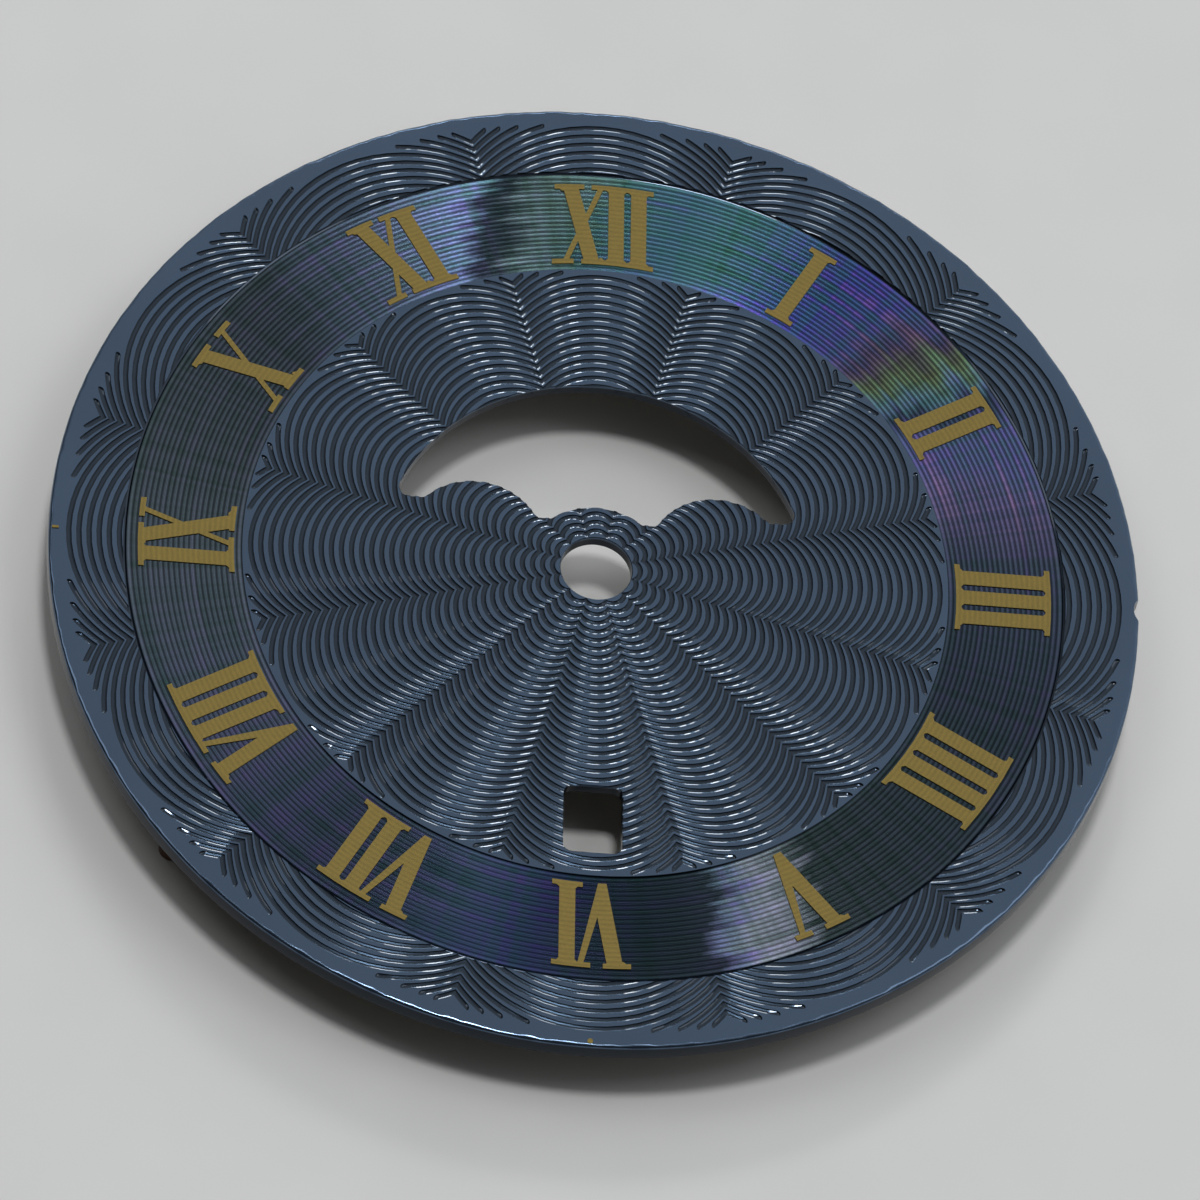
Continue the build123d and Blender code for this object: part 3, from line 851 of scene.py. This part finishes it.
def azure_ring_with_painted_light():
    """Satin ring under the same lacquer, cut with fine circular lines: long highlights across the lines, and
    painted highlights, painted shade and painted rainbow reflections round the ring, whose colours stray in
    patches, from line to line and in narrow spokes, with the lines painted lighter and darker in turn."""
    ring = bpy.context.scene.dial_ring
    middle = sum(ring_radii()) / 2
    material, tree, shader, place = new_material("azure_ring_with_painted_light")
    radius = from_axis(tree, place)
    parts = add(tree, "SeparateXYZ", [place]).outputs
    angle = add(tree, "Math", [parts["Y"], parts["X"]], "ARCTAN2")
    turns = add(tree, "Math", [angle, -0.5 / math.pi, 0.25], "MULTIPLY_ADD")
    clock = add(tree, "Math", [turns], "FRACT")
    outward = add(tree, "CombineXYZ", [parts["X"], parts["Y"], 0.0])
    tangent = add(tree, "VectorMath", [outward], "NORMALIZE")
    line = add(tree, "Math", [radius, 1 / ring.line_pitch], "MULTIPLY")
    number = add(tree, "Math", [line], "ROUND")
    stacked = add(tree, "CombineXYZ", [0.0, 0.0, number])
    line_place = add(tree, "VectorMath", [tangent, (2, 2, 2), stacked], "MULTIPLY_ADD")
    own = add(tree, "TexNoise", {"Vector": line_place, "Scale": 0.9, "Detail": 1.0})
    spokes = add(tree, "TexNoise", {"Vector": tangent, "Scale": 45.0, "Detail": 2.0})
    both = add(tree, "Math", [own, spokes], "ADD")
    jitter = add(tree, "Math", [both, -1.0], "ADD")
    ragged = add(tree, "Math", [own, -0.5], "ADD")
    slanted = add(tree, "Math", [radius, ring.slant, clock], "MULTIPLY_ADD")
    placed = add(tree, "Math", [slanted, -ring.slant * middle], "ADD")
    patch_place = add(tree, "VectorMath", {"Vector": place, "Scale": 1 / (1.6 * MM)}, "SCALE")
    patch = add(tree, "TexNoise", {"Vector": patch_place, "Scale": 1.0, "Detail": 2.0})
    centred = add(tree, "Math", [patch, -0.5], "ADD")
    patched = add(tree, "Math", [centred, ring.patch_shift, placed], "MULTIPLY_ADD")
    moved = add(tree, "Math", [ragged, ring.line_shift, patched], "MULTIPLY_ADD")
    # Painted light: the ramp lays painted highlights, painted shade and painted rainbow reflections over the
    # lacquer's blue round the ring.
    blue_and_painted_light_ramp = add(tree, "ValToRGB", [add(tree, "Math", [moved], "FRACT")])
    stops = blue_and_painted_light_ramp.color_ramp.elements
    for hour, colour in RING_BLUE_WITH_PAINTED_LIGHT:
        stop = stops[0] if hour == 0 else stops[-1] if hour == 12 else stops.new(hour / 12)
        stop.color = linear(colour)
    hue = add(tree, "Math", [jitter, ring.hue_shift, 0.5], "MULTIPLY_ADD")
    lacquer_blue_and_painted_light = add(tree, "HueSaturation", {"Hue": hue, "Saturation": ring.saturation, "Color": blue_and_painted_light_ramp})
    # Painted highlight and shade: the colour grows lighter and darker in turn once every line pitch.
    swing = add(tree, "Math", [line, 2 * math.pi], "MULTIPLY")
    crest = add(tree, "Math", [swing], "COSINE")
    painted_line_light = add(tree, "MapRange", {"Value": crest, "From Min": -1.0, "To Min": 0.42, "To Max": 1.55})
    shade = add(tree, "MapRange", {"Value": both, "From Min": 0.7, "From Max": 1.3, "To Min": 0.7,
                                   "To Max": 1.3})
    lined = add(tree, "Math", [shade, painted_line_light], "MULTIPLY")
    bright = add(tree, "Math", [lined, ring.brightness], "MULTIPLY")
    varied = add(tree, "VectorMath", {"Vector": lacquer_blue_and_painted_light, "Scale": bright}, "SCALE")
    feed(tree, shader, {"Base Color": varied, "Roughness": 0.22, "Metallic": 1.0})
    feed(tree, shader, {"Tangent": tangent, "Anisotropic": 0.95})
    return material


def turned_brass_back():
    """Bare lathe-turned brass, dulled with age: fine circular marks and a warm, uneven sheen. The marks are
    drawn 0.12 mm wide, coarser than a tool leaves them, so that they show."""
    colours = bpy.context.scene.dial_colours
    material, tree, shader, place = new_material("turned_brass")
    mark_place = add(tree, "Math", [from_axis(tree, place), 1 / (0.12 * MM)], "MULTIPLY")
    marks = add(tree, "TexNoise", {"W": mark_place, "Scale": 1.0, "Detail": 3.0}, noise_dimensions="1D")
    cloud = add(tree, "TexNoise", {"Vector": place, "Scale": 1 / (5 * MM), "Detail": 4.0})
    varied = clouded(tree, colours.brass[:3], cloud, 0.6, 1.1)
    rough = add(tree, "MapRange", {"Value": marks, "To Min": 0.3, "To Max": 0.5})
    bump = add(tree, "Bump", {"Height": marks, "Distance": 0.004 * MM, "Strength": 0.6})
    feed(tree, shader, {"Base Color": varied, "Roughness": rough, "Normal": bump, "Metallic": 1.0})
    return material


def gold_print():
    """Satin gold printing ink that follows the fine lines beneath it, its colour painted lighter and darker
    along those lines as painted shade. Its flakes are drawn 0.06 mm wide, coarser than real ones, so that
    they show."""
    colours = bpy.context.scene.dial_colours
    ring = bpy.context.scene.dial_ring
    material, tree, shader, place = new_material("gold_printing_ink")
    lines = add(tree, "Math", [from_axis(tree, place), 2 * math.pi / ring.line_pitch], "MULTIPLY")
    wave = add(tree, "Math", [lines], "SINE")
    grain = add(tree, "TexNoise", {"Vector": place, "Scale": 1 / (0.06 * MM), "Detail": 3.0})
    shade = add(tree, "MapRange", {"Value": grain, "To Min": 0.75, "To Max": 1.2})
    # Painted shade: the gold grows lighter and darker along the fine lines beneath it.
    lined = add(tree, "Math", [wave, 0.09, shade], "MULTIPLY_ADD")
    varied = add(tree, "VectorMath", {"Vector": colours.gold[:3], "Scale": lined}, "SCALE")
    bump = add(tree, "Bump", {"Height": wave, "Distance": 0.004 * MM, "Strength": 0.5})
    feed(tree, shader, {"Base Color": varied, "Roughness": 0.5, "Normal": bump, "Metallic": 0.4})
    return material


def soft_metal(name, colour, roughness, grain_mm):
    """Plain metal with an uneven grain, drawn coarser than it is so that it shows."""
    material, tree, shader, place = new_material(name)
    grain = add(tree, "TexNoise", {"Vector": place, "Scale": 1 / (grain_mm * MM), "Detail": 4.0})
    varied = clouded(tree, colour[:3], grain, 0.6, 1.2)
    rough = add(tree, "Math", [grain, 0.2, roughness - 0.1], "MULTIPLY_ADD")
    bump = add(tree, "Bump", {"Height": grain, "Distance": 0.01 * MM, "Strength": 0.5})
    feed(tree, shader, {"Base Color": varied, "Roughness": rough, "Normal": bump, "Metallic": 1.0})
    return material


def pale_paper():
    """Plain matt studio paper."""
    material, tree, shader, place = new_material("studio_paper")
    grain = add(tree, "TexNoise", {"Vector": place, "Scale": 1 / (4 * MM), "Detail": 2.0})
    varied = clouded(tree, bpy.context.scene.dial_colours.floor[:3], grain, 0.97, 1.03)
    feed(tree, shader, {"Base Color": varied, "Roughness": 0.9, "Specular IOR Level": 0.1})
    return material


def coat(material, *names):
    """Gives CAD nodes a material."""
    for name in names:
        materials = frame["nodes"][name].data.materials
        materials.clear()
        materials.append(material)


class DIAL_OT_plate(bpy.types.Operator):
    """Turns the plate with its waves, its lined ring and its windows"""

    bl_idname = "dial.plate"
    bl_label = "Dial plate"

    def execute(self, context):
        place_piece("dial_plate_turned", plate_mesh(), "navy_lacquer", "dial_plate")
        return {"FINISHED"}


class DIAL_OT_print(bpy.types.Operator):
    """Gives the printed numerals and rim marks their gold ink"""

    bl_idname = "dial.print"
    bl_label = "Gold print"

    def execute(self, context):
        coat(gold_print(), *(name for name in frame["nodes"] if name.startswith(("numeral_", "rim_"))))
        return {"FINISHED"}


class DIAL_OT_feet(bpy.types.Operator):
    """Gives the feet and their solder their metals"""

    bl_idname = "dial.feet"
    bl_label = "Feet and solder"

    def execute(self, context):
        colours = context.scene.dial_colours
        # Drawn wire keeps a warm satin sheen, and tin solder sets with a dull grey skin.
        copper = soft_metal("drawn_copper_wire", colours.copper, roughness=0.35, grain_mm=0.15)
        solder = soft_metal("dull_tin_solder", colours.solder, roughness=0.4, grain_mm=0.2)
        coat(copper, "dial_foot_left", "dial_foot_right")
        coat(solder, "solder_collar_left", "solder_collar_right")
        return {"FINISHED"}


# Strip lamps beyond the dial. Each shows in the channel walls that face between two angles, in degrees round
# from 3 o'clock, and has a share of the full brightness.
STRIP_LAMPS = (
    (64, 74, 0.3),
    (84, 94, 0.36),
    (105, 111, 0.6),
    (116, 121, 0.35),
)

# Where the softboxes hang and the window lies, in degrees round from 3 o'clock and up from the dial.
OVERHEAD_WAY = (95, 86)
SIDE_WAYS = {"left_softbox": (150, 57), "right_softbox": (10, 57)}
WINDOW_WAY = (50, 15)


def area_lamp(name, place, along, width, height, radiance, shape="RECTANGLE"):
    """Soft lamp of even brightness at a place, turned to the dial's middle, with its height along a way."""
    data = bpy.data.lights.new(name, "AREA")
    data.shape = shape
    data.size = width
    data.size_y = height
    data.energy = radiance * math.pi * width * height
    lamp = bpy.data.objects.new(name, data)
    bpy.context.collection.objects.link(lamp)
    back = place.normalized()
    side = along.cross(back).normalized()
    turn = Matrix((side, back.cross(side), back)).transposed()
    lamp.matrix_world = Matrix.Translation(place) @ turn.to_4x4()


def mirrored(view, facing, tilt):
    """Direction of the light that a wall with a facing and a tilt throws to the camera."""
    normal = Vector((math.sin(tilt) * math.cos(facing), math.sin(tilt) * math.sin(facing), math.cos(tilt)))
    return 2 * normal.dot(view) * normal - view


def strip_lamp(name, view, start, end, strength):
    """Soft strip that channel walls of a range of facings and tilts throw to the camera."""
    stage = bpy.context.scene.dial_stage
    start, end = math.radians(start), math.radians(end)
    middle, mean_tilt = (start + end) / 2, (stage.least_tilt + stage.most_tilt) / 2
    reach = stage.lamp_distance
    low, high = [mirrored(view, middle, tilt) * reach for tilt in (stage.least_tilt, stage.most_tilt)]
    width = (mirrored(view, end, mean_tilt) - mirrored(view, start, mean_tilt)).length * reach
    place = (low + high) / 2
    area_lamp(name, place, high - low, width, (high - low).length, stage.lamp_radiance * strength)


def way(azimuth, elevation):
    """Direction in the dial's own frame, from its angles in degrees."""
    azimuth, elevation = math.radians(azimuth), math.radians(elevation)
    level = math.cos(elevation)
    return Vector((level * math.cos(azimuth), level * math.sin(azimuth), math.sin(elevation)))


def softbox(name, angles, size, radiance, shape="RECTANGLE"):
    """Soft lamp as wide as it is high, hung at its angles."""
    azimuth, elevation = angles
    place = way(azimuth, elevation) * bpy.context.scene.dial_stage.lamp_distance
    area_lamp(name, place, way(azimuth, 0), size, size, radiance, shape)


def paper_floor():
    """Plain floor under the feet's ends."""
    half = bpy.context.scene.dial_stage.floor_size / 2
    mesh = bmesh.new()
    corners = ((-half, -half), (half, -half), (half, half), (-half, half))
    mesh.faces.new([mesh.verts.new((x, y, FOOT_END)) for x, y in corners])
    floor = bpy.data.objects.new("paper_floor", into_mesh("paper_floor", mesh, pale_paper()))
    bpy.context.collection.objects.link(floor)


def studio_camera():
    """Camera above the dial's lower edge; gives the direction in which it stands."""
    stage = bpy.context.scene.dial_stage
    data = bpy.data.cameras.new("camera")
    data.sensor_fit = "HORIZONTAL"
    data.sensor_width = stage.sensor_width
    data.lens = stage.focal_share * stage.sensor_width
    data.clip_start = 0.01
    data.clip_end = 10
    camera = bpy.data.objects.new("camera", data)
    bpy.context.collection.objects.link(camera)
    bpy.context.scene.camera = camera
    turn = Matrix.Rotation(stage.lean, 3, "Y") @ Matrix.Rotation(stage.tilt, 3, "X")
    back = (turn @ Matrix.Rotation(stage.roll, 3, "Z")).transposed()
    place = back @ Vector((-stage.shift_right, -stage.shift_up, stage.distance))
    camera.matrix_world = Matrix.Translation(place) @ back.to_4x4()
    return place.normalized()


def soft_room():
    """World that grows from a dark side to its window."""
    stage = bpy.context.scene.dial_stage
    world = bpy.data.worlds.new("soft_room")
    bpy.context.scene.world = world
    world.use_nodes = True
    tree = world.node_tree
    seen = add(tree, "TexCoord").outputs["Generated"]
    facing = add(tree, "VectorMath", [seen, way(*WINDOW_WAY)], "DOT_PRODUCT").outputs["Value"]
    bright = add(tree, "Math", [facing, 0.0], "MAXIMUM")
    strength = add(tree, "Math", [bright, stage.window_light, stage.room_light], "MULTIPLY_ADD")
    room = bpy.context.scene.dial_colours.room
    feed(tree, tree.nodes["Background"], {"Color": room, "Strength": strength})


class DIAL_OT_stage(bpy.types.Operator):
    """Sets the pale floor, the soft light and the camera"""

    bl_idname = "dial.stage"
    bl_label = "Stage"

    def execute(self, context):
        stage = context.scene.dial_stage
        paper_floor()
        view = studio_camera()
        for number, (start, end, strength) in enumerate(STRIP_LAMPS):
            strip_lamp(f"strip_{number}", view, start, end, strength)
        softbox("overhead_softbox", OVERHEAD_WAY, stage.softbox_size, stage.softbox_radiance, "ELLIPSE")
        for name, angles in SIDE_WAYS.items():
            softbox(name, angles, stage.side_size, stage.side_radiance)
        soft_room()
        context.scene.view_settings.view_transform = "Standard"
        return {"FINISHED"}


class DIAL_PT_sidebar(bpy.types.Panel):
    """Sizes, colours and pieces of the dial"""

    bl_label = "Watch dial"
    bl_idname = "DIAL_PT_sidebar"
    bl_space_type = "VIEW_3D"
    bl_region_type = "UI"
    bl_category = "Watch Dial"

    def draw(self, context):
        for group in GROUPS:
            box = self.layout.box()
            box.label(text=group.__doc__)
            settings = getattr(context.scene, GROUPS[group])
            for name in group.__annotations__:
                box.prop(settings, name)
        for operator in OPERATORS:
            self.layout.operator(operator.bl_idname)


GROUPS = {
    PlateSizes: "dial_plate",
    WaveSizes: "dial_waves",
    RingSizes: "dial_ring",
    FinishColours: "dial_colours",
    StageSizes: "dial_stage",
}
OPERATORS = (DIAL_OT_plate, DIAL_OT_print, DIAL_OT_feet, DIAL_OT_stage)


def register():
    """Registers the classes and keeps the settings on the scene."""
    for made in (*GROUPS, *OPERATORS, DIAL_PT_sidebar):
        bpy.utils.register_class(made)
    for group, name in GROUPS.items():
        setattr(bpy.types.Scene, name, PointerProperty(type=group))


def unregister():
    """Takes the settings and the classes away again."""
    for name in GROUPS.values():
        delattr(bpy.types.Scene, name)
    for made in reversed((*GROUPS, *OPERATORS, DIAL_PT_sidebar)):
        bpy.utils.unregister_class(made)


def main():
    """Builds the pieces and the stage."""
    register()
    bpy.ops.dial.plate()
    bpy.ops.dial.print()
    bpy.ops.dial.feet()
    bpy.ops.dial.stage()


if __name__ == "__main__":
    main()
